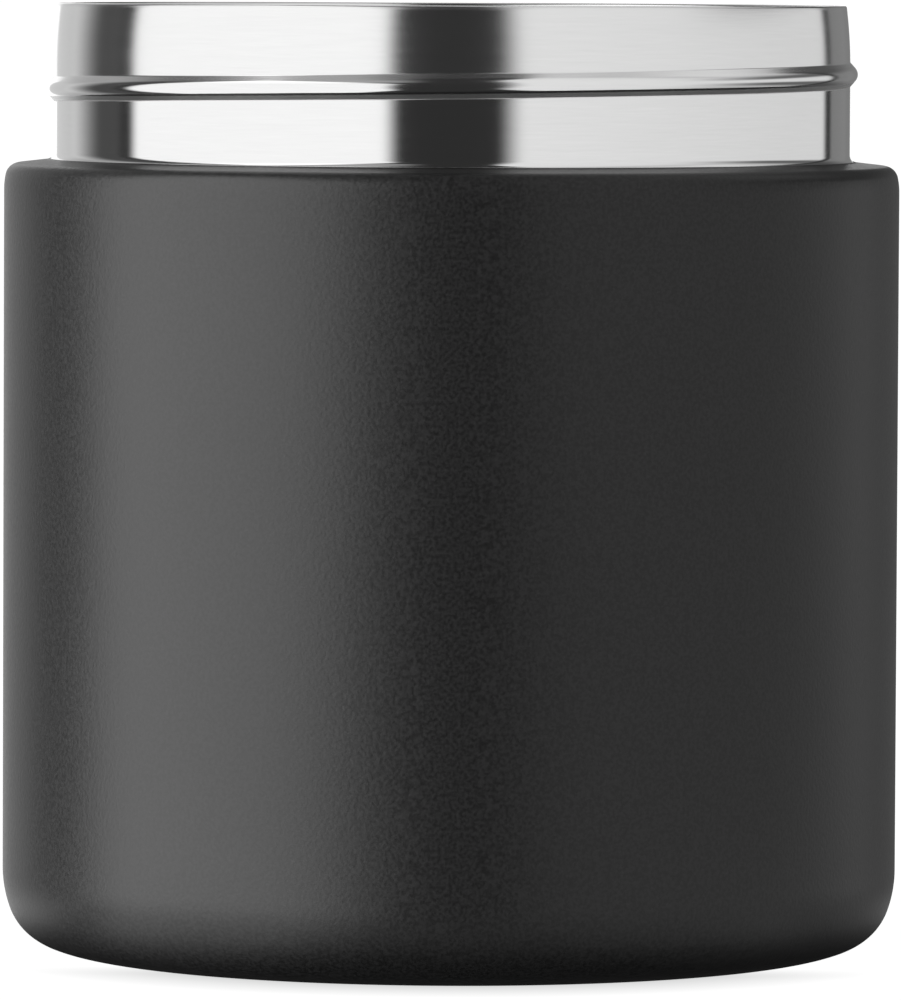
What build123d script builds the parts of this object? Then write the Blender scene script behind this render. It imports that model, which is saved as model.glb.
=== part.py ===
from build123d import *
import math
import os

# Double-walled vacuum food jar without its screw lid.
# Origin: centre of the circle that the jar stands on.  +Z up, out of the mouth.
# Front (where the thread bead is at its middle height) faces -Y.  Millimetres.

# ---------------------------------------------------------------- driving dimensions
BODY_R = 50.0            # outside of the coated body
SHOULDER_Z = 88.04       # coated shoulder, where its corner meets the cone
RIM_Z = 105.9            # top of the weld lip
COAT_T = 0.10            # powder coat
WALL_T = 0.50            # drawn steel sheet, both walls
BASE_T = 0.50            # pressed base cup

# bottom corner of the body: three tangent arcs (radius, turn)
CORNER = ((13.2, 20.0), (6.7, 50.0), (13.2, 20.0))
# shoulder corner: two tangent arcs, from the vertical side inwards, then a flat cone up to the neck
SHOULDER = ((8.0, 12.0), (1.6, 71.5))
CONE = 6.5               # slope of the shoulder, degrees

NECK_R = 44.45           # straight outside of the neck
NECK_FILLET = 1.00       # concave fillet between shoulder and neck
COAT_WRAP = 28.5         # the coat stops this far round that fillet, degrees
NECK_BEND_Z = 98.9       # above this the neck leans in
NECK_LEAN_R = 54.0       # on this radius
WALL_TOP_Z = 105.0       # both walls end here, the weld lip sits on them
LIP_OUT_R = 0.26         # rounding of the lip outside
LIP_IN_R = 0.42          # rounding of the lip inside

# thread: one rolled bead, right-hand, single start
THREAD_LEAD = 4.00
THREAD_FRONT_Z = 97.27   # height of the bead's middle at the front, -Y
THREAD_H = 0.84          # how far it stands proud of the neck
THREAD_HALF_W = 1.44     # half its width where its fillets meet the neck
THREAD_TOP_R = 1.12      # crest radius, down to where the straight flanks start
THREAD_FIL_R = 0.20      # fillet between flank and neck
THREAD_SLOPE = 42.0      # of the straight flanks, degrees
THREAD_SINK = 0.01       # the fillets end this far inside the neck's surface
THREAD_FULL = 186.0      # full height over this many degrees either side of the front
THREAD_END = 216.0       # run-outs end here

WELD_Z = 11.6            # outer wall meets base cup
MOUTH_R = 42.0           # inside of the straight neck of the liner
MOUTH_TOP_Z = 101.8      # top of that straight stretch
MOUTH_LOW_Z = 90.8       # bottom of it
LINER_R = 44.5           # inside of the liner below the neck
LINER_WELD_Z = 19.5      # liner tube meets its bottom dish
FLOOR_Z = 9.2            # food side of the liner's flat floor ring
FLOOR_CORNER = 8.0       # corner radius, food side
PLATEAU_R = 27.0         # raised middle of the floor
LAND_OUT_R = 41.10       # bare standing land, outer radius
RECESS_Z = 3.0           # underside of the base's recessed floor
FOIL_T = 0.12

os.makedirs("parts", exist_ok=True)


# ---------------------------------------------------------------- profile helpers
class Trace:
    """A path in the radius-height plane made of lines and tangent arcs.

    side is how far this trace runs to the left of the reference path, so that one list of
    moves gives both faces of a sheet. heading is in degrees: 0 outwards, 90 up.
    """

    def __init__(self, x, z, heading, side=0.0):
        a = math.radians(heading)
        self.x = x - side * math.sin(a)
        self.z = z + side * math.cos(a)
        self.a = heading
        self.side = side
        self.edges = []
        self.start = (self.x, self.z)

    def line(self, length):
        a = math.radians(self.a)
        x, z = self.x + length * math.cos(a), self.z + length * math.sin(a)
        self.edges.append(Line((self.x, 0, self.z), (x, 0, z)))
        self.x, self.z = x, z
        return self

    def arc(self, radius, turn):
        """turn is positive to the left. radius belongs to the reference path."""
        r = radius - self.side if turn > 0 else radius + self.side
        s = 1.0 if turn > 0 else -1.0
        a = math.radians(self.a)
        cx, cz = self.x - s * r * math.sin(a), self.z + s * r * math.cos(a)

        def at(t):
            b = a + math.radians(t)
            return cx + s * r * math.sin(b), cz - s * r * math.cos(b)

        mx, mz = at(turn / 2)
        x, z = at(turn)
        self.edges.append(ThreePointArc((self.x, 0, self.z), (mx, 0, mz), (x, 0, z)))
        self.x, self.z, self.a = x, z, self.a + turn
        return self

    def run(self, moves):
        for m in moves:
            if m[0] == "l":
                self.line(m[1])
            else:
                self.arc(m[1], m[2])
        return self


def spin(edges):
    face = make_face(Wire(edges))
    return revolve(face, Axis.Z)


def sheet(x, z, heading, moves, thick):
    """A sheet of the given thickness, on the left of its reference path, turned round Z."""
    a = Trace(x, z, heading).run(moves)
    b = Trace(x, z, heading, side=thick).run(moves)
    ends = [
        Line((a.x, 0, a.z), (b.x, 0, b.z)),
        Line((b.start[0], 0, b.start[1]), (a.start[0], 0, a.start[1])),
    ]
    return spin(a.edges + [ends[0]] + b.edges[::-1] + [ends[1]])


def polygon(points):
    pts = [(x, 0, z) for x, z in points]
    return [Line(p, q) for p, q in zip(pts, pts[1:] + pts[:1])]


def keep(name, shape):
    shape.label = name
    export_step(shape, f"parts/{name}.step")
    box = shape.bounding_box()
    print(f"{name:16s} solids {len(shape.solids())}  volume {shape.volume:9.2f} mm3  "
          f"z {box.min.Z:7.3f} to {box.max.Z:7.3f}  valid {shape.is_valid}")


# ---------------------------------------------------------------- common sizes
corner_out = sum(
    r * (math.sin(math.radians(b)) - math.sin(math.radians(a)))
    for r, a, b in ((13.2, 0, 20), (6.7, 20, 70), (13.2, 70, 90))
)
corner_up = sum(
    r * (math.cos(math.radians(a)) - math.cos(math.radians(b)))
    for r, a, b in ((13.2, 0, 20), (6.7, 20, 70), (13.2, 70, 90))
)
(R1, T1), (R2, T2) = SHOULDER
should_in = R1 * (1 - math.cos(math.radians(T1))) + R2 * (math.cos(math.radians(T1)) - math.sin(math.radians(CONE)))
should_up = R1 * math.sin(math.radians(T1)) + R2 * (math.cos(math.radians(CONE)) - math.sin(math.radians(T1)))
side_low = corner_up                      # height where the straight side starts
side_top = SHOULDER_Z - should_up         # and where it ends
land_r = BODY_R - corner_out              # the corner leaves the floor here

# the neck above NECK_BEND_Z
lean = math.degrees(math.asin((WALL_TOP_Z - NECK_BEND_Z) / NECK_LEAN_R))
wall_top_r = NECK_R - NECK_LEAN_R * (1 - math.cos(math.radians(lean)))
# the cone of the shoulder, on the steel: from its outer end to the fillet under the neck
cone_in, cone_up = math.cos(math.radians(CONE)), math.sin(math.radians(CONE))
steel_cone_r = BODY_R - should_in - COAT_T * cone_up
steel_cone_z = SHOULDER_Z - COAT_T * cone_in
fillet_r = NECK_R + NECK_FILLET * (1 - cone_up)
steel_cone = (steel_cone_r - fillet_r) / cone_in
neck_low = steel_cone_z + steel_cone * cone_up + NECK_FILLET * cone_in    # straight neck starts here
print(f"corner {corner_out:.4f} x {corner_up:.4f}, shoulder {should_in:.4f} x {should_up:.4f}")
print(f"lean {lean:.3f} deg, wall top radius {wall_top_r:.4f}")

# ---------------------------------------------------------------- powder coat
# a skin from the standing land, round the corner, up the side, over the shoulder and onto the fillet
up = [("a", 13.2, 18.2), ("a", 6.7, 50.0), ("a", 13.2, 20.0),
      ("l", side_top - side_low),
      ("a", R1, T1), ("a", R2, T2),
      ("l", steel_cone), ("a", NECK_FILLET - COAT_T, -COAT_WRAP)]
b0 = math.radians(1.8)
coat_x = land_r + 13.2 * math.sin(b0)
coat_z = 13.2 * (1 - math.cos(b0))
powder_coat = sheet(coat_x, coat_z, 1.8, up, COAT_T)
keep("powder_coat", powder_coat)

# ---------------------------------------------------------------- outer wall with its thread
# reference path is the outer face, from the base weld up to the weld lip
shell_moves = [
    ("l", side_top - WELD_Z),
    ("a", R1 - COAT_T, T1), ("a", R2 - COAT_T, T2),
    ("l", steel_cone),
    ("a", NECK_FILLET, CONE - 90.0),
    ("l", NECK_BEND_Z - neck_low),
    ("a", NECK_LEAN_R, lean),
]
outer_shell = sheet(BODY_R - COAT_T, WELD_Z, 90.0, shell_moves, WALL_T)


# how much of the bead's half width the crest arc and the fillet take
crest_u = THREAD_TOP_R * math.sin(math.radians(THREAD_SLOPE))
fillet_u = THREAD_FIL_R * math.sin(math.radians(THREAD_SLOPE))


def flank(height):
    """Slope of the straight flanks, in radians, at a place where the bead has this height."""
    lo, hi = 0.0, 1.2
    for _ in range(60):
        mid = (lo + hi) / 2
        h = (crest_u + fillet_u) * math.tan(mid / 2) + (THREAD_HALF_W - crest_u - fillet_u) * math.tan(mid)
        lo, hi = (mid, hi) if h < height else (lo, mid)
    return (lo + hi) / 2


def bead_section(theta, height):
    """Cross-section of the bead at an angle, as a face whose back is sunk into the wall."""
    w, h = THREAD_HALF_W, height + THREAD_SINK
    s = flank(h)
    back = NECK_R - 0.30
    z0 = THREAD_FRONT_Z + THREAD_LEAD * (theta - 270.0) / 360.0
    jx, jz = crest_u, h - crest_u * math.tan(s / 2)                      # crest arc meets the flank
    kx, kz = w - fillet_u, fillet_u * math.tan(s / 2)                    # flank meets the fillet
    fil = fillet_u / math.sin(s)
    mx, mz = w - fil * math.sin(s / 2), fil * (1 - math.cos(s / 2))
    t = math.radians(theta)

    def p(u, v):
        r = NECK_R - THREAD_SINK + v
        return (r * math.cos(t), r * math.sin(t), z0 + u)

    def q(r, u):
        return (r * math.cos(t), r * math.sin(t), z0 + u)

    edges = [
        Line(q(back, -w), p(-w, 0)),
        ThreePointArc(p(-w, 0), p(-mx, mz), p(-kx, kz)),
        Line(p(-kx, kz), p(-jx, jz)),
        ThreePointArc(p(-jx, jz), p(0, h), p(jx, jz)),
        Line(p(jx, jz), p(kx, kz)),
        ThreePointArc(p(kx, kz), p(mx, mz), p(w, 0)),
        Line(p(w, 0), q(back, w)),
        Line(q(back, w), q(back, -w)),
    ]
    return make_face(Wire(edges))


def bead_height(d):
    """Height at d degrees from the front: full in the middle, run out smoothly at both ends."""
    d = abs(d)
    if d <= THREAD_FULL:
        return THREAD_H
    f = min((d - THREAD_FULL) / (THREAD_END - THREAD_FULL), 1.0)
    return max(THREAD_H * (0.5 + 0.5 * math.cos(math.pi * f)), 0.03)


angles = [-THREAD_END + i * 6.0 for i in range(int(round(THREAD_END / 3.0)) + 1)]
bead = loft([bead_section(270.0 + d, bead_height(d)) for d in angles])
print("bead", bead.is_valid, bead.volume)
outer_shell = outer_shell + bead
keep("outer_shell", outer_shell)

# ---------------------------------------------------------------- weld lip at the mouth
inner_r = wall_top_r - 2 * WALL_T
up_lip = RIM_Z - WALL_TOP_Z
lip = [
    Line((inner_r, 0, WALL_TOP_Z), (wall_top_r, 0, WALL_TOP_Z)),
]
t = Trace(wall_top_r, WALL_TOP_Z, 90.0 + lean)
t.line((up_lip - LIP_OUT_R * (1 - math.sin(math.radians(lean)))) / math.cos(math.radians(lean)))
t.arc(LIP_OUT_R, 90.0 - lean)
lip += t.edges
lip_top = t.z
lip += [
    Line((t.x, 0, t.z), (inner_r + LIP_IN_R, 0, lip_top)),
]
u = Trace(inner_r + LIP_IN_R, lip_top, 180.0)
u.arc(LIP_IN_R, 90.0)
lip += u.edges
lip += [Line((u.x, 0, u.z), (inner_r, 0, WALL_TOP_Z))]
rim_weld = spin(lip)
keep("rim_weld", rim_weld)

# ---------------------------------------------------------------- liner
# reference path is the outer (vacuum) face, from the floor weld up; the sheet lies to its left
flare = wall_top_r - 2 * WALL_T - MOUTH_R           # how far the top of the liner steps out
FLARE_R = 2.0                                       # to the middle of the sheet
fa = math.degrees(math.acos(1 - flare / (2 * FLARE_R)))
f_up = 2 * FLARE_R * math.sin(math.radians(fa))
BULGE_R = 6.0
ba = math.degrees(math.acos(1 - (LINER_R - MOUTH_R) / (2 * BULGE_R)))
b_up = 2 * BULGE_R * math.sin(math.radians(ba))
liner_moves = [
    ("l", MOUTH_LOW_Z - b_up - LINER_WELD_Z),
    ("a", BULGE_R + WALL_T / 2, ba), ("a", BULGE_R - WALL_T / 2, -ba),
    ("l", MOUTH_TOP_Z - MOUTH_LOW_Z),
    ("a", FLARE_R - WALL_T / 2, -fa), ("a", FLARE_R + WALL_T / 2, fa),
    ("l", WALL_TOP_Z - MOUTH_TOP_Z - f_up),
]
inner_liner = sheet(LINER_R + WALL_T, LINER_WELD_Z, 90.0, liner_moves, WALL_T)
keep("inner_liner", inner_liner)

# floor dish: raised middle, flat ring, corner, short wall. Reference path is the vacuum face.
STEP_R = 2.5
step = 0.8
sa = math.degrees(math.acos(1 - step / (2 * STEP_R)))
s_out = 2 * STEP_R * math.sin(math.radians(sa))
low_z = FLOOR_Z - WALL_T
ring_in = PLATEAU_R + s_out
dish_moves = [
    ("l", PLATEAU_R),
    ("a", STEP_R + WALL_T / 2 - WALL_T / 2, -sa), ("a", STEP_R, sa),
    ("l", LINER_R - FLOOR_CORNER - ring_in),
    ("a", FLOOR_CORNER + WALL_T, 90.0),
    ("l", LINER_WELD_Z - FLOOR_Z - FLOOR_CORNER),
]
liner_bottom = sheet(0.0, low_z + step, 0.0, dish_moves, WALL_T)
keep("liner_bottom", liner_bottom)


def half_round(r, z, half, proud, sign):
    """Weld bead on a wall of radius r: sign +1 stands outwards, -1 inwards."""
    edges = [
        ThreePointArc((r, 0, z - half), (r + sign * proud, 0, z), (r, 0, z + half)),
        Line((r, 0, z + half), (r, 0, z - half)),
    ]
    return spin(edges)


liner_weld = half_round(LINER_R + WALL_T, LINER_WELD_Z, 0.9, 0.22, 1)
keep("liner_weld", liner_weld)

# ---------------------------------------------------------------- base cup
# Outer part: follows the inside of the coat. Inner part: standing land, recess, middle dimple.
# Outer face, from the hole in the middle outwards.
DIMPLE_R = 7.0
DIMPLE_UP = 1.8
HOLE_R = 0.8
RECESS_R = 33.6          # wall of the recess, outer face
BEND = 0.9               # small bend radii, on the outer face
da = 45.0
dimple_up = DIMPLE_UP - 2 * (1 - math.cos(math.radians(da))) * (BEND + BASE_T / 2)
cup_moves = [
    # out from the hole, down the side of the dimple, onto the recess floor
    ("l", DIMPLE_R - 3.2 - HOLE_R),
    ("a", BEND, -da),
    ("l", dimple_up / math.sin(math.radians(da))),
    ("a", BEND + BASE_T, da),
]
probe = Trace(HOLE_R, RECESS_Z + DIMPLE_UP, 0.0).run(cup_moves)
floor_from = probe.x
cup_moves += [
    ("l", RECESS_R - BEND - floor_from),
    ("a", BEND, -90.0),
    ("l", RECESS_Z - BEND - (BEND + BASE_T)),
    ("a", BEND + BASE_T, 90.0),
    ("l", LAND_OUT_R - RECESS_R - (BEND + BASE_T)),
]
a = Trace(HOLE_R, RECESS_Z + DIMPLE_UP, 0.0).run(cup_moves)
b = Trace(HOLE_R, RECESS_Z + DIMPLE_UP, 0.0, side=BASE_T).run(cup_moves)
# outer part, on the inside of the coat
c_moves = [("a", 13.2, 18.2), ("a", 6.7, 50.0), ("a", 13.2, 20.0), ("l", WELD_Z - side_low)]
c = Trace(coat_x, coat_z, 1.8, side=COAT_T).run(c_moves)
d = Trace(coat_x, coat_z, 1.8, side=COAT_T + BASE_T).run(c_moves)
cup = a.edges
cup += [Line((a.x, 0, a.z), (c.start[0], 0, c.start[1]))]
cup += c.edges
cup += [Line((c.x, 0, c.z), (d.x, 0, d.z))]
cup += d.edges[::-1]
cup += [Line((d.start[0], 0, d.start[1]), (b.x, 0, b.z))]
cup += b.edges[::-1]
cup += [Line((b.start[0], 0, b.start[1]), (a.start[0], 0, a.start[1]))]
outer_base = spin(cup)
keep("outer_base", outer_base)

base_weld = half_round(BODY_R - COAT_T - WALL_T, WELD_Z, 0.9, 0.22, -1)
keep("base_weld", base_weld)

# ---------------------------------------------------------------- closing the vacuum
# glass bead under the hole, with a plug through it and a small head inside
g = RECESS_Z + DIMPLE_UP
glass = polygon([(0, g - 0.9), (1.6, g - 0.8), (2.4, g - 0.45), (2.7, g),
                 (HOLE_R, g), (HOLE_R, g + BASE_T), (HOLE_R + 0.35, g + BASE_T),
                 (HOLE_R + 0.15, g + BASE_T + 0.28), (0, g + BASE_T + 0.38)])
sealing_glass = spin(glass)
keep("sealing_glass", sealing_glass)

# getter pill on the inside of the recessed floor, under a spot-welded strap
GETTER_X = 19.0
GETTER_R = 4.0
GETTER_H = 2.0
gz = RECESS_Z + BASE_T
getter_pill = Pos(GETTER_X, 0, gz + GETTER_H / 2) * Cylinder(GETTER_R, GETTER_H)
getter_pill = fillet(getter_pill.edges().filter_by(GeomType.CIRCLE), 0.3)
keep("getter_pill", getter_pill)

STRAP_T = 0.25
STRAP_W = 3.0
reach = GETTER_R + 0.15
s0, s1 = gz, gz + GETTER_H
outline = [(-reach - 4.0, s0), (-reach, s0), (-reach, s1), (reach, s1), (reach, s0), (reach + 4.0, s0),
           (reach + 4.0, s0 + STRAP_T), (reach + STRAP_T, s0 + STRAP_T), (reach + STRAP_T, s1 + STRAP_T),
           (-reach - STRAP_T, s1 + STRAP_T), (-reach - STRAP_T, s0 + STRAP_T), (-reach - 4.0, s0 + STRAP_T)]
strap = make_face(Wire([Line((0, p[0], p[1]), (0, q[0], q[1]))
                        for p, q in zip(outline, outline[1:] + outline[:1])]))
getter_clip = extrude(strap, amount=STRAP_W / 2, dir=(1, 0, 0), both=True)
getter_clip = Pos(GETTER_X, 0, 0) * getter_clip
keep("getter_clip", getter_clip)

# ---------------------------------------------------------------- radiation shield
foil_in = LINER_R + WALL_T + 0.04
foil_low, foil_high = LINER_WELD_Z + 1.6, MOUTH_LOW_Z - b_up - 0.5
copper_foil = spin(polygon([(foil_in, foil_low), (foil_in + FOIL_T, foil_low),
                            (foil_in + FOIL_T, foil_high), (foil_in, foil_high)]))
keep("copper_foil", copper_foil)
foil_r = LINER_R - FLOOR_CORNER - 0.5
foil_disc = spin(polygon([(0, low_z - FOIL_T), (foil_r, low_z - FOIL_T), (foil_r, low_z), (0, low_z)]))
keep("foil_disc", foil_disc)

# ---------------------------------------------------------------- underside cover
COVER_T = 0.40
COVER_R = 33.1
COVER_Z = 1.55           # underside of the cover
base_cover = Pos(0, 0, COVER_Z + COVER_T / 2) * Cylinder(COVER_R, COVER_T)
base_cover = fillet(base_cover.edges().filter_by(GeomType.CIRCLE), 0.15)
keep("base_cover", base_cover)
tape_z = COVER_Z + COVER_T
adhesive_ring = spin(polygon([(21.0, tape_z), (30.0, tape_z), (30.0, RECESS_Z), (21.0, RECESS_Z)]))
keep("adhesive_ring", adhesive_ring)
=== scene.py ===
import math

import bpy
from mathutils import Matrix, Vector


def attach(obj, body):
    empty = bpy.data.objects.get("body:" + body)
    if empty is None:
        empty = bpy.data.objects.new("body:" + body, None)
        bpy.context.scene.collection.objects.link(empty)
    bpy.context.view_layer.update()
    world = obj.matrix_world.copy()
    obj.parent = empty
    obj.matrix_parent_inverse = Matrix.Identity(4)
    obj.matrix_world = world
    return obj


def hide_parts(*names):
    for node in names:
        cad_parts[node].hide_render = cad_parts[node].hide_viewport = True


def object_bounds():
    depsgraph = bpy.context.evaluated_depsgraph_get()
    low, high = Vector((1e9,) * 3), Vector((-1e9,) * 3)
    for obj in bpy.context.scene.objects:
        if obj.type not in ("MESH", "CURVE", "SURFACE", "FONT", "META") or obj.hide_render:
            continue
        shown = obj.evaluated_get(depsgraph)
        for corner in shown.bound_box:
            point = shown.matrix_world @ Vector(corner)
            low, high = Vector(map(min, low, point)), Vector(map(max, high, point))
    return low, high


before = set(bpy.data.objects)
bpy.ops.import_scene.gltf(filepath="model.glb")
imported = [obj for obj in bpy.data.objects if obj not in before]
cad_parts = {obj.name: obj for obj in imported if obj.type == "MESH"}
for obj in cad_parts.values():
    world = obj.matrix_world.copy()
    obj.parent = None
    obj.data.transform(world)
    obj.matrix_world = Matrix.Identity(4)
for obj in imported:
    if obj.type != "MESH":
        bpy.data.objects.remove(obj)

cad_lo, cad_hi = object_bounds()
cad_lo, cad_hi = list(cad_lo), list(cad_hi)

MM = 0.001
scene = bpy.context.scene

# ------------------------------------------------------------------ sizes, in millimetres
BODY_R, SHOULDER_Z, RIM_Z = 50.0, 88.04, 105.9
COAT_T, WALL_T, BASE_T = 0.10, 0.50, 0.50
SHOULDER, CONE = ((8.0, 12.0), (1.6, 71.5)), 6.5
NECK_R, NECK_FILLET, COAT_WRAP = 44.45, 1.00, 28.5
NECK_BEND_Z, NECK_LEAN_R, WALL_TOP_Z = 98.9, 54.0, 105.0
LIP_OUT_R, LIP_IN_R = 0.26, 0.42
THREAD_LEAD, THREAD_FRONT_Z = 4.00, 97.27
THREAD_H, THREAD_HALF_W, THREAD_TOP_R, THREAD_FIL_R, THREAD_SLOPE, THREAD_SINK = 0.84, 1.44, 1.12, 0.20, 42.0, 0.01
THREAD_FULL, THREAD_END = 186.0, 216.0
WELD_Z = 11.6
MOUTH_R, MOUTH_TOP_Z, MOUTH_LOW_Z = 42.0, 101.8, 90.8
LINER_R, LINER_WELD_Z, FLOOR_Z, FLOOR_CORNER = 44.5, 19.5, 9.2, 8.0
PLATEAU_R, LAND_OUT_R, RECESS_Z = 27.0, 41.10, 3.0
COVER_T, COVER_R, COVER_Z = 0.40, 33.1, 1.55


def rad(a):
    return math.radians(a)


# ------------------------------------------------------------------ profiles
class Trace:
    """Points of a path of lines and tangent arcs in the radius-height plane.

    side is how far it runs to the left of the reference path. Each point is
    (radius, height, sharp), where sharp marks a corner that shading must not round.
    """

    def __init__(self, x, z, heading, side=0.0, step=4.0):
        a = rad(heading)
        self.x, self.z = x - side * math.sin(a), z + side * math.cos(a)
        self.a, self.side, self.step = heading, side, step
        self.pts = [(self.x, self.z, False)]

    def line(self, length, every=None):
        a = rad(self.a)
        n = 1 if not every else max(1, int(math.ceil(length / every)))
        x0, z0 = self.x, self.z
        for i in range(1, n + 1):
            t = length * i / n
            self.pts.append((x0 + t * math.cos(a), z0 + t * math.sin(a), False))
        self.x, self.z = self.pts[-1][:2]
        return self

    def arc(self, radius, turn, step=None):
        s = 1.0 if turn > 0 else -1.0
        r = radius - s * self.side
        a = rad(self.a)
        cx, cz = self.x - s * r * math.sin(a), self.z + s * r * math.cos(a)
        n = max(2, int(math.ceil(abs(turn) / (step or self.step))))
        for i in range(1, n + 1):
            b = a + rad(turn * i / n)
            self.pts.append((cx + s * r * math.sin(b), cz - s * r * math.cos(b), False))
        self.x, self.z = self.pts[-1][:2]
        self.a += turn
        return self

    def run(self, moves):
        for m in moves:
            if m[0] == "l":
                self.line(*m[1:])
            else:
                self.arc(*m[1:])
        return self


def join(*runs):
    """One closed profile from runs of points. Every joint between two runs is a sharp corner."""
    out = []
    for run in runs:
        run = [tuple(p) for p in run]
        if out and math.dist(out[-1][:2], run[0][:2]) < 1e-5:
            out[-1] = (*out[-1][:2], True)
            run = run[1:]
        elif out:
            out[-1] = (*out[-1][:2], True)
            run[0] = (*run[0][:2], True)
        out += run
    if math.dist(out[-1][:2], out[0][:2]) < 1e-5:
        out.pop()
    else:
        out[-1] = (*out[-1][:2], True)
    out[0] = (*out[0][:2], True)
    return out


def lathe(name, profile, around=384, proud=None):
    """A closed mesh: a closed profile turned round Z. proud(theta, z, i) adds to the radius of a profile point."""
    area = sum(p[0] * q[1] - q[0] * p[1] for p, q in zip(profile, profile[1:] + profile[:1]))
    if area < 0:
        raise ValueError(name + ": the profile runs the wrong way round")
    verts, rings = [], []
    for i, (r, z, _) in enumerate(profile):
        if r < 1e-6:
            rings.append([len(verts)])
            verts.append((0.0, 0.0, z * MM))
            continue
        start = len(verts)
        for k in range(around):
            t = 2 * math.pi * k / around
            rr = r + (proud(t, z, i) if proud else 0.0)
            verts.append((rr * math.cos(t) * MM, rr * math.sin(t) * MM, z * MM))
        rings.append(list(range(start, start + around)))
    faces = []
    n = len(profile)
    for i in range(n):
        a, b = rings[i], rings[(i + 1) % n]
        if len(a) == 1 and len(b) == 1:
            continue
        for k in range(around):
            m = (k + 1) % around
            if len(a) == 1:
                faces.append((a[0], b[m], b[k]))
            elif len(b) == 1:
                faces.append((a[k], a[m], b[0]))
            else:
                faces.append((a[k], a[m], b[m], b[k]))
    mesh = bpy.data.meshes.new(name)
    mesh.from_pydata(verts, [], faces)
    mesh.validate()
    mesh.polygons.foreach_set("use_smooth", [True] * len(mesh.polygons))
    sharp = set()
    for i, (r, _, s) in enumerate(profile):
        if s and r > 1e-6:
            ring = rings[i]
            for k in range(around):
                sharp.add((min(ring[k], ring[(k + 1) % around]), max(ring[k], ring[(k + 1) % around])))
    flags = [tuple(sorted(e.vertices)) in sharp for e in mesh.edges]
    attr = mesh.attributes.new("sharp_edge", "BOOLEAN", "EDGE")
    attr.data.foreach_set("value", flags)
    mesh.update()
    obj = bpy.data.objects.new(name, mesh)
    scene.collection.objects.link(obj)
    return obj


def sheet(x, z, heading, moves, thick, step=4.0):
    """Closed profile of a sheet on the left of its reference path."""
    a = Trace(x, z, heading, 0.0, step).run(moves).pts
    b = Trace(x, z, heading, thick, step).run(moves).pts
    return a, b[::-1]


# ------------------------------------------------------------------ thread bead
crest_u = THREAD_TOP_R * math.sin(rad(THREAD_SLOPE))
fillet_u = THREAD_FIL_R * math.sin(rad(THREAD_SLOPE))
slopes = {}


def flank(height):
    """Slope of the straight flanks, in radians, at a place where the bead has this height."""
    key = round(height, 6)
    if key not in slopes:
        lo, hi = 0.0, 1.2
        for _ in range(50):
            mid = (lo + hi) / 2
            h = (crest_u + fillet_u) * math.tan(mid / 2) + (THREAD_HALF_W - crest_u - fillet_u) * math.tan(mid)
            lo, hi = (mid, hi) if h < height else (lo, mid)
        slopes[key] = (lo + hi) / 2
    return slopes[key]


def bead_radius(u, h):
    """How far the bead stands proud at u from its middle, where its full height is h."""
    u, w = abs(u), THREAD_HALF_W
    if h <= 1e-4 or u >= w:
        return 0.0
    h += THREAD_SINK
    s = flank(h)
    if u <= crest_u:
        top = crest_u / math.sin(s)
        v = h - top + math.sqrt(top * top - u * u)
    elif u <= w - fillet_u:
        v = fillet_u * math.tan(s / 2) + (w - fillet_u - u) * math.tan(s)
    else:
        fil = fillet_u / math.sin(s)
        v = fil - math.sqrt(fil * fil - (w - u) ** 2)
    return max(v - THREAD_SINK, 0.0)


def bead_height(d):
    d = abs(d)
    if d <= THREAD_FULL:
        return THREAD_H
    if d >= THREAD_END:
        return 0.0
    f = (d - THREAD_FULL) / (THREAD_END - THREAD_FULL)
    return THREAD_H * (0.5 + 0.5 * math.cos(math.pi * f))


def bead(theta, z):
    best = 0.0
    d0 = math.degrees(theta) - 270.0
    for turn in (-360.0, 0.0, 360.0):
        d = d0 + turn
        if abs(d) >= THREAD_END:
            continue
        zc = THREAD_FRONT_Z + THREAD_LEAD * d / 360.0
        best = max(best, bead_radius(z - zc, bead_height(d)))
    return best


def groove(theta, z):
    """The hollow behind the bead, on the vacuum side of the wall."""
    best = 0.0
    d0 = math.degrees(theta) - 270.0
    for turn in (-360.0, 0.0, 360.0):
        d = d0 + turn
        if abs(d) >= THREAD_END:
            continue
        u = z - (THREAD_FRONT_Z + THREAD_LEAD * d / 360.0)
        if abs(u) < 1.15:
            best = max(best, 0.72 * bead_height(d) * (0.5 + 0.5 * math.cos(math.pi * u / 1.15)))
    return best


# ------------------------------------------------------------------ shapes shared with the CAD
(R1, T1), (R2, T2) = SHOULDER
should_in = R1 * (1 - math.cos(rad(T1))) + R2 * (math.cos(rad(T1)) - math.sin(rad(CONE)))
should_up = R1 * math.sin(rad(T1)) + R2 * (math.cos(rad(CONE)) - math.sin(rad(T1)))
side_low = 13.2 * (1 - math.cos(rad(20))) + 6.7 * (math.cos(rad(20)) - math.cos(rad(70))) + 13.2 * math.cos(rad(70))
side_top = SHOULDER_Z - should_up
land_r = BODY_R - side_low
lean = math.degrees(math.asin((WALL_TOP_Z - NECK_BEND_Z) / NECK_LEAN_R))
wall_top_r = NECK_R - NECK_LEAN_R * (1 - math.cos(rad(lean)))
cone_in, cone_up = math.cos(rad(CONE)), math.sin(rad(CONE))
fillet_r = NECK_R + NECK_FILLET * (1 - cone_up)
steel_cone = (BODY_R - should_in - COAT_T * cone_up - fillet_r) / cone_in
neck_low = SHOULDER_Z - COAT_T * cone_in + steel_cone * cone_up + NECK_FILLET * cone_in
coat_x = land_r + 13.2 * math.sin(rad(1.8))
coat_z = 13.2 * (1 - math.cos(rad(1.8)))

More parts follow.
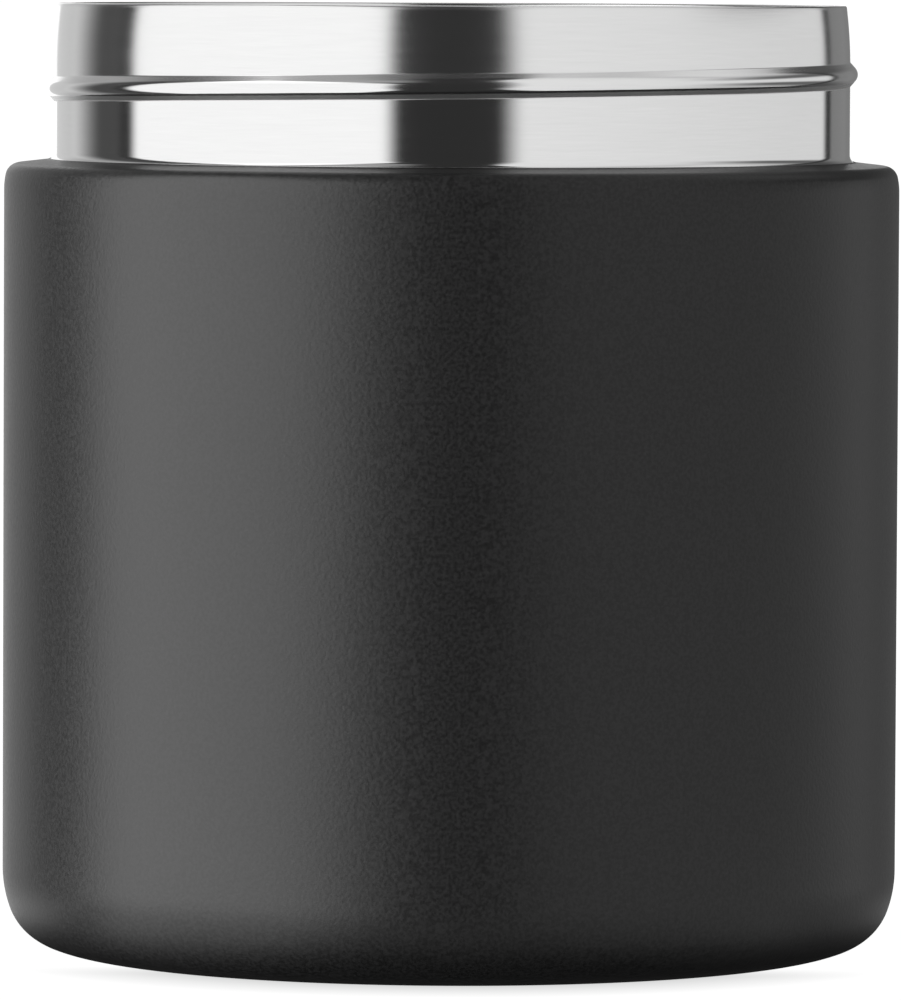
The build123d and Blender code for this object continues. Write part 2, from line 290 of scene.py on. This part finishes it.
# ------------------------------------------------------------------ outer wall
pieces = {}
shell_moves = [
    ("l", side_top - WELD_Z),
    ("a", R1 - COAT_T, T1), ("a", R2 - COAT_T, T2),
    ("l", steel_cone),
    ("a", NECK_FILLET, CONE - 90.0, 3.0),
    ("l", 93.2 - neck_low, 0.5),
    ("l", NECK_BEND_Z - 93.2, 0.06),
    ("a", NECK_LEAN_R, lean, 0.065),
]
outer, inner = sheet(BODY_R - COAT_T, WELD_Z, 90.0, shell_moves, WALL_T)
shell_profile = join(outer, inner)
n_outer = len(outer)


def shell_proud(theta, z, i):
    if z < 91.0:
        return 0.0
    return bead(theta, z) if i < n_outer else groove(theta, z)


pieces["outer_shell"] = lathe("outer_wall", shell_profile, 720, shell_proud)

# ------------------------------------------------------------------ weld lip
inner_r = wall_top_r - 2 * WALL_T
up_lip = RIM_Z - WALL_TOP_Z
t = Trace(wall_top_r, WALL_TOP_Z, 90.0 + lean, step=6.0)
t.line((up_lip - LIP_OUT_R * (1 - math.sin(rad(lean)))) / math.cos(rad(lean)))
t.arc(LIP_OUT_R, 90.0 - lean)
t.line(t.x - (inner_r + LIP_IN_R))
t.arc(LIP_IN_R, 90.0)
t.line(t.z - WALL_TOP_Z)
pieces["rim_weld"] = lathe("mouth_lip", join(t.pts, [(inner_r, WALL_TOP_Z, True), (wall_top_r, WALL_TOP_Z, True)]), 720)

# ------------------------------------------------------------------ powder coat
coat_moves = [
    ("a", 13.2, 18.2, 2.0), ("a", 6.7, 50.0, 2.5), ("a", 13.2, 20.0, 2.0),
    ("l", side_top - side_low, 4.0),
    ("a", R1, T1, 2.0), ("a", R2, T2, 3.0),
    ("l", steel_cone, 0.8), ("a", NECK_FILLET - COAT_T, 4.0 - COAT_WRAP, 3.0),
]
outer, inner = sheet(coat_x, coat_z, 1.8, coat_moves, COAT_T)
# the free edge of the coat, rounded over onto the steel
face = rad(CONE + COAT_WRAP - 4.0)
ex, ez = outer[-1][0] - 0.1 * math.sin(face), outer[-1][1] - 0.1 * math.cos(face)
edge = [(ex + 0.1 * math.sin(face - rad(b)), ez + 0.1 * math.cos(face - rad(b)), False) for b in range(15, 90, 15)]
profile = join(outer + edge, inner)
pieces["powder_coat"] = lathe("coat", profile, 720)

# ------------------------------------------------------------------ liner
FLARE_R, BULGE_R = 2.0, 6.0
flare = wall_top_r - 2 * WALL_T - MOUTH_R
fa = math.degrees(math.acos(1 - flare / (2 * FLARE_R)))
f_up = 2 * FLARE_R * math.sin(rad(fa))
ba = math.degrees(math.acos(1 - (LINER_R - MOUTH_R) / (2 * BULGE_R)))
b_up = 2 * BULGE_R * math.sin(rad(ba))
GAP = 0.05
liner_moves = [
    ("l", MOUTH_LOW_Z - b_up - LINER_WELD_Z - GAP, 6.0),
    ("a", BULGE_R + WALL_T / 2, ba, 2.5), ("a", BULGE_R - WALL_T / 2, -ba, 2.5),
    ("l", MOUTH_TOP_Z - MOUTH_LOW_Z, 3.0),
    ("a", FLARE_R - WALL_T / 2, -fa, 3.0), ("a", FLARE_R + WALL_T / 2, fa, 3.0),
    ("l", WALL_TOP_Z - MOUTH_TOP_Z - f_up),
]
outer, inner = sheet(LINER_R + WALL_T, LINER_WELD_Z + GAP, 90.0, liner_moves, WALL_T)
# the seam where tube and dish meet: both edges are slightly rounded on the food side
inner[-1] = (inner[-1][0], inner[-1][1] + 0.06, False)
seam_in = [(inner[-1][0] + 0.018, LINER_WELD_Z + GAP + 0.018, False), (inner[-1][0] + 0.06, LINER_WELD_Z, False)]
outer[0] = (outer[0][0], LINER_WELD_Z, False)
pieces["inner_liner"] = lathe("liner_wall", join(outer, inner + seam_in), 512)

STEP_R, step_h = 2.5, 0.8
sa = math.degrees(math.acos(1 - step_h / (2 * STEP_R)))
s_out = 2 * STEP_R * math.sin(rad(sa))
low_z = FLOOR_Z - WALL_T
dish_moves = [
    ("l", PLATEAU_R, 3.0),
    ("a", STEP_R, -sa, 3.0), ("a", STEP_R, sa, 3.0),
    ("l", LINER_R - FLOOR_CORNER - PLATEAU_R - s_out, 2.0),
    ("a", FLOOR_CORNER + WALL_T, 90.0, 3.0),
    ("l", LINER_WELD_Z - FLOOR_Z - FLOOR_CORNER - GAP),
]
outer, inner = sheet(0.0, low_z + step_h, 0.0, dish_moves, WALL_T)
inner[0] = (inner[0][0], inner[0][1] - 0.06, False)
seam_up = [(inner[0][0] + 0.06, LINER_WELD_Z - 0.004, False), (inner[0][0] + 0.018, LINER_WELD_Z - GAP - 0.018, False)]
outer[-1] = (outer[-1][0], LINER_WELD_Z - 0.004, False)
pieces["liner_bottom"] = lathe("liner_floor", join(outer, seam_up + inner), 512)

# ------------------------------------------------------------------ base cup
DIMPLE_R, DIMPLE_UP, HOLE_R, RECESS_R, BEND, da = 7.0, 1.8, 0.8, 33.6, 0.9, 45.0
dimple_up = DIMPLE_UP - 2 * (1 - math.cos(rad(da))) * (BEND + BASE_T / 2)
cup_moves = [
    ("l", DIMPLE_R - 3.2 - HOLE_R), ("a", BEND, -da), ("l", dimple_up / math.sin(rad(da))), ("a", BEND + BASE_T, da),
]
floor_from = Trace(HOLE_R, RECESS_Z + DIMPLE_UP, 0.0).run(cup_moves).x
cup_moves += [
    ("l", RECESS_R - BEND - floor_from, 4.0), ("a", BEND, -90.0, 5.0), ("l", RECESS_Z - BEND - (BEND + BASE_T)),
    ("a", BEND + BASE_T, 90.0, 4.0), ("l", LAND_OUT_R - RECESS_R - (BEND + BASE_T), 1.5),
]
a = Trace(HOLE_R, RECESS_Z + DIMPLE_UP, 0.0).run(cup_moves)
b = Trace(HOLE_R, RECESS_Z + DIMPLE_UP, 0.0, BASE_T).run(cup_moves)
c_moves = [("a", 13.2, 18.2, 3.0), ("a", 6.7, 50.0, 4.0), ("a", 13.2, 20.0, 3.0), ("l", WELD_Z - side_low)]
c = Trace(coat_x, coat_z, 1.8, COAT_T).run(c_moves)
d = Trace(coat_x, coat_z, 1.8, COAT_T + BASE_T).run(c_moves)
profile = join(a.pts, c.pts, d.pts[::-1], b.pts[::-1])
pieces["outer_base"] = lathe("base_cup", profile, 384)

cover = [(0.0, COVER_Z, False)]
for r in (6.0, 12.0, 18.0, 24.0, 29.0, COVER_R - 0.15):
    cover.append((r, COVER_Z, False))
cover += [(COVER_R - 0.15 + 0.15 * math.sin(rad(x)), COVER_Z + 0.15 - 0.15 * math.cos(rad(x)), False) for x in (22, 45, 68, 90)]
cover += [(COVER_R - 0.15 + 0.15 * math.cos(rad(x)), COVER_Z + COVER_T - 0.15 + 0.15 * math.sin(rad(x)), False) for x in (0.1, 22, 45, 68, 90)]
cover.append((0.0, COVER_Z + COVER_T, False))
pieces["base_cover"] = lathe("underside_cover", cover, 384)


# ------------------------------------------------------------------ materials
def material(name):
    m = bpy.data.materials.new(name)
    m.use_nodes = True
    t = m.node_tree
    t.nodes.clear()
    out = t.nodes.new("ShaderNodeOutputMaterial")
    bsdf = t.nodes.new("ShaderNodeBsdfPrincipled")
    t.links.new(bsdf.outputs[0], out.inputs[0])
    return m, t, bsdf


class Nodes:
    """Short hand for adding linked nodes to a tree."""

    def __init__(self, tree):
        self.t = tree

    def add(self, kind, **props):
        n = self.t.nodes.new(kind)
        for k, v in props.items():
            setattr(n, k, v)
        return n

    def plug(self, socket, value):
        if isinstance(value, (int, float)):
            socket.default_value = value
        elif isinstance(value, (tuple, list)):
            socket.default_value = value
        else:
            self.t.links.new(value, socket)

    def math(self, op, a, b=None, c=None, clamp=False):
        n = self.add("ShaderNodeMath", operation=op, use_clamp=clamp)
        self.plug(n.inputs[0], a)
        if b is not None:
            self.plug(n.inputs[1], b)
        if c is not None:
            self.plug(n.inputs[2], c)
        return n.outputs[0]

    def ramp(self, value, a, b, lo=0.0, hi=1.0, kind="SMOOTHSTEP"):
        n = self.add("ShaderNodeMapRange", interpolation_type=kind, clamp=True)
        self.plug(n.inputs["Value"], value)
        self.plug(n.inputs["From Min"], a)
        self.plug(n.inputs["From Max"], b)
        self.plug(n.inputs["To Min"], lo)
        self.plug(n.inputs["To Max"], hi)
        return n.outputs["Result"]

    def noise(self, vector, scale, detail=2.0, rough=0.5, distortion=0.0):
        n = self.add("ShaderNodeTexNoise")
        self.plug(n.inputs["Vector"], vector)
        self.plug(n.inputs["Scale"], scale)
        self.plug(n.inputs["Detail"], detail)
        self.plug(n.inputs["Roughness"], rough)
        self.plug(n.inputs["Distortion"], distortion)
        return n.outputs["Fac"]

    def mix(self, fac, a, b):
        n = self.add("ShaderNodeMix", data_type="RGBA")
        self.plug(n.inputs["Factor"], fac)
        self.plug(n.inputs["A"], a)
        self.plug(n.inputs["B"], b)
        return n.outputs["Result"]

    def combine(self, x, y, z):
        n = self.add("ShaderNodeCombineXYZ")
        self.plug(n.inputs[0], x)
        self.plug(n.inputs[1], y)
        self.plug(n.inputs[2], z)
        return n.outputs[0]

    def place(self):
        """Object coordinates, split, with radius and angle round Z."""
        tc = self.add("ShaderNodeTexCoord")
        sp = self.add("ShaderNodeSeparateXYZ")
        self.t.links.new(tc.outputs["Object"], sp.inputs[0])
        x, y, z = sp.outputs
        r = self.math("SQRT", self.math("ADD", self.math("MULTIPLY", x, x), self.math("MULTIPLY", y, y)))
        a = self.math("ARCTAN2", y, x)
        return tc.outputs["Object"], x, y, z, r, a

    def bump(self, height, strength, distance, normal=None):
        n = self.add("ShaderNodeBump")
        n.inputs["Strength"].default_value = strength
        n.inputs["Distance"].default_value = distance
        self.plug(n.inputs["Height"], height)
        if normal is not None:
            self.t.links.new(normal, n.inputs["Normal"])
        return n.outputs["Normal"]


def steel(name, colour=(0.62, 0.62, 0.62), rough_low=0.07, rough_high=0.07, split=(0.0, 0.0), line_scale=9000.0,
          line_bump=0.02, streak=0.04, direction="height", flanks=0.0, top=None):
    """Bright stainless: fine lines that run round the axis, with a little variation in gloss along them."""
    m, t, bsdf = material(name)
    n = Nodes(t)
    pos, x, y, z, r, a = n.place()
    along = z if direction == "height" else r
    # the lines: noise that changes quickly across them and slowly along them
    ca, sa_ = n.math("COSINE", a), n.math("SINE", a)
    v = n.combine(n.math("MULTIPLY", ca, 0.0012), n.math("MULTIPLY", sa_, 0.0012), along)
    fine = n.noise(v, line_scale, 3.0, 0.6)
    coarse = n.noise(n.combine(n.math("MULTIPLY", ca, 0.0020), n.math("MULTIPLY", sa_, 0.0020), along), line_scale * 0.17, 3.0, 0.55)
    blot = n.noise(pos, 60.0, 2.0, 0.5)
    both = n.math("ADD", n.math("MULTIPLY", fine, 0.65), n.math("MULTIPLY", coarse, 0.35))
    base = n.ramp(z, split[0], split[1] + 1e-6, rough_low, rough_high)
    rough = n.math("ADD", base, n.math("MULTIPLY", n.math("SUBTRACT", coarse, 0.5), streak))
    rough = n.math("ADD", rough, n.math("MULTIPLY", n.math("SUBTRACT", blot, 0.5), streak * 0.6), clamp=True)
    if flanks:
        # the sides of the rolled bead are duller than its crest
        turn = n.math("DIVIDE", n.math("ARCTAN2", x, n.math("MULTIPLY", y, -1.0)), 2 * math.pi)
        v = n.math("SUBTRACT", z, n.math("MULTIPLY_ADD", turn, THREAD_LEAD * MM, THREAD_FRONT_Z * MM))
        u = n.math("ABSOLUTE", v)
        dull = n.math("MULTIPLY", n.ramp(u, 0.00072, 0.00092), n.ramp(u, 0.00135, 0.00150, 1.0, 0.0))
        dull = n.math("MULTIPLY", dull, n.ramp(v, -0.0003, 0.0003, 1.0, 0.25))
        rough = n.math("MULTIPLY_ADD", dull, flanks, rough)
    lo = tuple(c * 0.93 for c in colour) + (1.0,)
    hi = tuple(min(1.0, c * 1.05) for c in colour) + (1.0,)
    shade = n.mix(both, lo, hi)
    if top:
        shade = n.mix(n.ramp(z, top[0], top[1]), shade, (top[2], top[2], top[2], 1.0))
    t.links.new(shade, bsdf.inputs["Base Color"])
    t.links.new(rough, bsdf.inputs["Roughness"])
    bsdf.inputs["Metallic"].default_value = 1.0
    t.links.new(n.bump(both, line_bump, 0.0002), bsdf.inputs["Normal"])
    return m


def powder(name):
    """Satin black powder coat: a fine sandy skin over a soft orange peel."""
    m, t, bsdf = material(name)
    n = Nodes(t)
    pos, x, y, z, r, a = n.place()
    grain = n.noise(pos, 2500.0, 1.5, 0.5)
    peel = n.noise(pos, 1250.0, 1.0, 0.5)
    patch = n.noise(pos, 45.0, 3.0, 0.5)
    speck = n.ramp(n.noise(pos, 2900.0, 1.0, 0.5), 0.60, 0.78)
    height = n.math("ADD", n.math("MULTIPLY", grain, 0.7), n.math("MULTIPLY", peel, 0.5))
    colour = n.mix(n.ramp(grain, 0.30, 0.70), (0.0019, 0.0019, 0.0019, 1.0), (0.0074, 0.0074, 0.0075, 1.0))
    colour = n.mix(n.math("MULTIPLY", speck, 0.5), colour, (0.012, 0.012, 0.0122, 1.0))
    t.links.new(colour, bsdf.inputs["Base Color"])
    rough = n.math("ADD", n.ramp(grain, 0.25, 0.75, 0.355, 0.43, "LINEAR"), n.math("MULTIPLY", n.math("SUBTRACT", patch, 0.5), 0.03))
    t.links.new(rough, bsdf.inputs["Roughness"])
    bsdf.inputs["Specular IOR Level"].default_value = 0.27
    t.links.new(n.bump(height, 0.40, 0.000060), bsdf.inputs["Normal"])
    return m


def plain(name, lo, hi, rough, metallic, scale, bump=0.1, distance=0.0001):
    m, t, bsdf = material(name)
    n = Nodes(t)
    pos, *_ = n.place()
    f = n.noise(pos, scale, 4.0, 0.6)
    t.links.new(n.mix(f, (*lo, 1.0), (*hi, 1.0)), bsdf.inputs["Base Color"])
    t.links.new(n.ramp(f, 0.2, 0.8, rough[0], rough[1], "LINEAR"), bsdf.inputs["Roughness"])
    bsdf.inputs["Metallic"].default_value = metallic
    t.links.new(n.bump(f, bump, distance), bsdf.inputs["Normal"])
    return m


neck_steel = steel("neck_steel", rough_low=0.085, rough_high=0.13, split=(0.0965, 0.0985), flanks=0.24)
lip_steel = steel("lip_steel", rough_low=0.13, rough_high=0.19, split=(0.10535, 0.10560), top=(0.10555, 0.10575, 0.58))
liner_steel = steel("liner_steel", colour=(0.58, 0.58, 0.575), rough_low=0.20, rough_high=0.20, line_bump=0.05, streak=0.06)
floor_steel = steel("liner_floor_steel", colour=(0.58, 0.58, 0.575), rough_low=0.20, rough_high=0.20, line_bump=0.06, streak=0.06, direction="radius")
base_steel = steel("base_steel", colour=(0.56, 0.56, 0.555), rough_low=0.26, rough_high=0.26, line_bump=0.10, streak=0.08, direction="radius")
cover_steel = steel("cover_steel", colour=(0.56, 0.56, 0.555), rough_low=0.28, rough_high=0.28, line_bump=0.14, streak=0.08, direction="radius")
weld_steel = plain("weld_steel", (0.36, 0.34, 0.32), (0.50, 0.49, 0.47), (0.30, 0.48), 1.0, 900.0, 0.3)
black_coat = powder("black_coat")
copper = plain("copper_foil", (0.66, 0.34, 0.21), (0.80, 0.45, 0.30), (0.18, 0.34), 1.0, 400.0, 0.25, 0.0002)
getter = plain("getter_grey", (0.14, 0.135, 0.13), (0.25, 0.24, 0.23), (0.55, 0.75), 0.7, 3500.0, 0.6, 0.0002)
solder_glass = plain("solder_glass", (0.030, 0.026, 0.024), (0.060, 0.052, 0.046), (0.08, 0.20), 0.0, 700.0, 0.1)
foam = plain("foam_tape", (0.018, 0.018, 0.018), (0.040, 0.040, 0.040), (0.85, 0.97), 0.0, 2500.0, 0.8, 0.0003)

look = {
    "outer_shell": neck_steel, "rim_weld": lip_steel, "powder_coat": black_coat, "inner_liner": liner_steel,
    "liner_bottom": floor_steel, "outer_base": base_steel, "base_cover": cover_steel,
}
for node, obj in pieces.items():
    obj.data.materials.append(look[node])
    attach(obj, "root")
    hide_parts(node)
for node, mat in {"liner_weld": weld_steel, "base_weld": weld_steel, "getter_clip": weld_steel, "sealing_glass": solder_glass,
                  "getter_pill": getter, "copper_foil": copper, "foil_disc": copper, "adhesive_ring": foam}.items():
    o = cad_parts[node]
    o.data.materials.clear()
    o.data.materials.append(mat)

# ------------------------------------------------------------------ floor
size = 4.0
floor_mesh = bpy.data.meshes.new("floor")
floor_mesh.from_pydata([(-size, -size, 0), (size, -size, 0), (size, size, 0), (-size, size, 0)], [], [(0, 1, 2, 3)])
floor = bpy.data.objects.new("floor", floor_mesh)
scene.collection.objects.link(floor)
fm, ft, fb = material("floor_white")
fb.inputs["Base Color"].default_value = (0.05, 0.05, 0.05, 1.0)
fb.inputs["Roughness"].default_value = 0.9
fb.inputs["Specular IOR Level"].default_value = 0.0
fb.inputs["Emission Color"].default_value = (1.0, 1.0, 1.0, 1.0)
# painted contact shadow: the floor's glow is dimmed in front of the foot of the jar and behind it, and not at the
# sides, where the side panels would wash a shadow out
fn = Nodes(ft)
_, _, floor_y, _, floor_r, _ = fn.place()
painted_floor_shadow = fn.math("SUBTRACT", fn.ramp(floor_y, -0.031, -0.019, 0.67, 1.03), fn.ramp(floor_y, 0.010, 0.032, 0.0, 0.36))
ft.links.new(fn.ramp(floor_r, 0.0405, 0.0560, painted_floor_shadow, 1.03, "LINEAR"), fb.inputs["Emission Strength"])
floor_mesh.materials.append(fm)
floor.visible_diffuse = False
floor.visible_glossy = False
floor.visible_transmission = False
floor.visible_shadow = False

# what the jar sees of the floor near its foot, painted on a glowing disc that the camera does not see: painted shadow
# close in, then painted light of the pale floor
pool_mesh = bpy.data.meshes.new("painted_shadow_pool")
ring = [(0.12 * math.cos(k * math.pi / 48), 0.12 * math.sin(k * math.pi / 48), -0.0002) for k in range(96)]
pool_mesh.from_pydata(ring, [], [tuple(range(96))])
pool = bpy.data.objects.new("painted_shadow_pool", pool_mesh)
scene.collection.objects.link(pool)
pm = bpy.data.materials.new("painted_shadow_pool")
pm.use_nodes = True
pt = pm.node_tree
pt.nodes.clear()
pn = Nodes(pt)
_, pool_x, pool_y, _, pool_r, _ = pn.place()
# painted light of the floor round the foot: strongest in front on the left, weaker on the right, falling towards the
# back, with more again at the far left and right sides
pool_front = pn.ramp(pool_y, -0.036, -0.022, 1.0, 0.0)
painted_pool_light = pn.math("ADD", pn.ramp(pool_x, -0.030, -0.008, 1.90, 0.0), pn.ramp(pool_x, 0.005, 0.03, 0.0, 0.35))
painted_pool_light = pn.math("ADD", pn.math("MULTIPLY", painted_pool_light, pool_front), pn.ramp(pool_y, -0.030, 0.0, 0.55, 0.30))
painted_side_light = pn.math("ADD", pn.ramp(pool_x, -0.052, -0.036, 0.70, 0.0), pn.ramp(pool_x, 0.036, 0.052, 0.0, 0.12))
painted_pool_light = pn.math("ADD", painted_pool_light, pn.math("MULTIPLY", painted_side_light, pn.ramp(pool_y, -0.024, -0.004)))
painted_pool_glow, clear, blend, pool_out = (pn.add("ShaderNodeEmission"), pn.add("ShaderNodeBsdfTransparent"), pn.add("ShaderNodeMixShader"), pn.add("ShaderNodeOutputMaterial"))
painted_pool_glow.inputs["Color"].default_value = (1.0, 1.0, 1.0, 1.0)
# painted shadow: the glow is nearly off close to the foot and rises to the painted light further out; beyond that the
# disc fades to clear
pt.links.new(pn.ramp(pool_r, 0.0455, 0.0620, 0.02, painted_pool_light), painted_pool_glow.inputs["Strength"])
pt.links.new(pn.ramp(pool_r, 0.066, 0.086), blend.inputs[0])
pt.links.new(painted_pool_glow.outputs[0], blend.inputs[1])
pt.links.new(clear.outputs[0], blend.inputs[2])
pt.links.new(blend.outputs[0], pool_out.inputs[0])
pool_mesh.materials.append(pm)
pool.visible_camera = False
pool.visible_shadow = False

# ------------------------------------------------------------------ studio light: two tall soft panels either side of the lens
world = bpy.data.worlds.new("studio")
scene.world = world
world.use_nodes = True
wt = world.node_tree
wt.nodes.clear()
w = Nodes(wt)
tc = w.add("ShaderNodeTexCoord")
sp = w.add("ShaderNodeSeparateXYZ")
wt.links.new(tc.outputs["Generated"], sp.inputs[0])
dx, dy, dz = sp.outputs
az = w.math("MULTIPLY", w.math("ARCTAN2", dx, w.math("MULTIPLY", dy, -1.0)), 180.0 / math.pi)   # 0 towards the lens, + to the right
el = w.math("MULTIPLY", w.math("ARCSINE", dz), 180.0 / math.pi)


def band(v, a0, a1, b0, b1):
    """1 between a1 and b0, falling to 0 at a0 and b1."""
    return w.math("MULTIPLY", w.ramp(v, a0, a1), w.ramp(v, b0, b1, 1.0, 0.0))


# each side panel is a flat sheet of light parallel to the lens axis: where a direction meets it
# is given by depth (away from the lens) and height, both divided by the distance to its plane
side = w.math("MAXIMUM", w.math("ABSOLUTE", dx), 1e-4)
depth = w.math("DIVIDE", dy, side)
high = w.math("DIVIDE", dz, side)
on_left = w.ramp(dx, -0.001, 0.001, 1.0, 0.0, "LINEAR")
on_right = w.math("SUBTRACT", 1.0, on_left)

LEFT, RIGHT_A, RIGHT_B = 1.44, 1.15, 0.92
SOFTBOX = 49.0
BACK_L, BACK_R, BACK_MID, CEILING, GAP, AMBIENT = 0.72, 0.24, 1.30, 0.50, 0.058, 0.040
left = w.math("MULTIPLY", w.math("MULTIPLY", w.math("MULTIPLY", w.ramp(az, -20.5, -14.5, 1.0, 0.0), w.ramp(depth, 0.21, 0.31, 1.0, 0.0)), w.math("MULTIPLY", w.ramp(high, 1.7, 2.15, 1.0, 0.0), w.ramp(high, -3.3, -2.5))),
              w.math("MULTIPLY", on_left, LEFT))
right = w.math("MULTIPLY", w.math("MULTIPLY", w.math("MULTIPLY", w.ramp(az, 12.5, 21.5), w.ramp(depth, 0.99, 1.13, 1.0, 0.0)),
                                  w.math("MULTIPLY", w.ramp(high, 4.4, 5.6, 1.0, 0.0), w.ramp(high, -3.3, -2.5))),
               w.math("MULTIPLY", on_right, w.ramp(az, 20.0, 138.0, RIGHT_A, RIGHT_B, "LINEAR")))
off = w.math("ABSOLUTE", el)
right = w.math("MULTIPLY", right, w.math("SUBTRACT", 1.0, w.math("MULTIPLY", w.ramp(az, 65.0, 110.0, 0.0, 0.85), w.math("MULTIPLY", w.ramp(off, 5.0, 16.0), w.ramp(off, 22.0, 36.0, 1.0, 0.4)))))
back_l = w.math("MULTIPLY", band(az, -164.5, -163.0, -143.0, -121.0), BACK_L)
back_l = w.math("MULTIPLY", back_l, w.ramp(off, 10.0, 28.0, 1.0, 0.6))
back_r = w.math("MULTIPLY", band(az, 140.5, 143.0, 174.0, 175.0), w.ramp(az, 156.0, 166.0, BACK_R, BACK_R * 0.8))
back_r = w.math("MULTIPLY", back_r, w.ramp(off, 8.0, 22.0, 1.0, 0.25))
back_mid = w.math("ADD", w.math("MULTIPLY", w.ramp(az, -164.5, -163.0, BACK_MID, 0.0), w.ramp(az, -178.0, -171.0, 0.5, 1.0)),
                  w.ramp(az, 174.0, 175.5, 0.0, BACK_MID * 0.9))
back = w.math("MULTIPLY", w.math("ADD", w.math("ADD", back_l, back_r), back_mid), band(el, -60.0, -45.0, 40.0, 60.0))
# the sky behind the jar, well above it
back_hi = w.math("MULTIPLY", w.math("MULTIPLY", w.ramp(dy, 0.02, 0.25), w.ramp(el, 30.0, 48.0)), w.math("ADD", w.ramp(dx, -0.25, 0.0, 0.0, 0.35), w.math("MULTIPLY", band(dx, -0.20, -0.05, 0.05, 0.20), 0.6)))
back = w.math("ADD", back, back_hi)
gap = w.math("MULTIPLY", band(az, -146.0, -140.0, -114.0, -108.0), GAP)
ceiling = w.math("MULTIPLY", w.math("MULTIPLY", w.ramp(dx, -0.28, -0.08, 1.0, 0.0), w.ramp(el, 40.0, 52.0)), w.ramp(dy, 0.08, 0.35, CEILING, 0.10))
light = w.math("ADD", w.math("ADD", left, right), w.math("ADD", w.math("ADD", back, gap), w.math("ADD", ceiling, AMBIENT)))
light = w.math("MULTIPLY", light, w.ramp(el, -84.0, -70.0, 0.15, 1.0))
lp = w.add("ShaderNodeLightPath")
bg_l, bg_c, mx, wo = w.add("ShaderNodeBackground"), w.add("ShaderNodeBackground"), w.add("ShaderNodeMixShader"), w.add("ShaderNodeOutputWorld")
wt.links.new(light, bg_l.inputs["Strength"])
bg_l.inputs["Color"].default_value = (1, 1, 1, 1)
bg_c.inputs["Color"].default_value = (1, 1, 1, 1)
bg_c.inputs["Strength"].default_value = 1.05
wt.links.new(lp.outputs["Is Camera Ray"], mx.inputs[0])
wt.links.new(bg_l.outputs[0], mx.inputs[1])
wt.links.new(bg_c.outputs[0], mx.inputs[2])
wt.links.new(mx.outputs[0], wo.inputs[0])

# a softbox in front of the left panel, turned to the black body only: the bare steel is bright enough without it
soft_data = bpy.data.lights.new("left_softbox", "AREA")
soft_data.shape = "RECTANGLE"
soft_data.size, soft_data.size_y, soft_data.energy = 2.06, 2.15, SOFTBOX
soft = bpy.data.objects.new("left_softbox", soft_data)
scene.collection.objects.link(soft)
soft.matrix_world = Matrix.Translation((-1.0, -0.85, 0.525)) @ Matrix(((0, 0, -1), (-1, 0, 0), (0, 1, 0))).to_4x4()
soft.visible_camera = False
lit_by_soft = bpy.data.collections.new("lit_by_left_softbox")
lit_by_soft.objects.link(pieces["powder_coat"])
soft.light_linking.receiver_collection = lit_by_soft

# ------------------------------------------------------------------ camera: 1.13 m away, 5 mm above the rim
PITCH, ROLL = 0.0533, 0.0045
cam_data = bpy.data.cameras.new("camera")
cam = bpy.data.objects.new("camera", cam_data)
scene.collection.objects.link(cam)
scene.camera = cam
cam_data.sensor_fit = "AUTO"
cam_data.sensor_width = 36.0
cam_data.lens = 363.35
cam_data.clip_start, cam_data.clip_end = 0.05, 50.0
fwd = Vector((0.0, math.cos(PITCH), -math.sin(PITCH)))
right0, up0 = Vector((1.0, 0.0, 0.0)), Vector((0.0, math.sin(PITCH), math.cos(PITCH)))
right_v = right0 * math.cos(ROLL) + up0 * math.sin(ROLL)
up_v = up0 * math.cos(ROLL) - right0 * math.sin(ROLL)
rot = Matrix((right_v, up_v, -fwd)).transposed()
cam.matrix_world = Matrix.Translation((0.000020, -1.12862, 0.11064)) @ rot.to_4x4()

scene.view_settings.view_transform = "Standard"
scene.view_settings.look = "None"
scene.view_settings.exposure = 0.0
scene.view_settings.gamma = 1.0
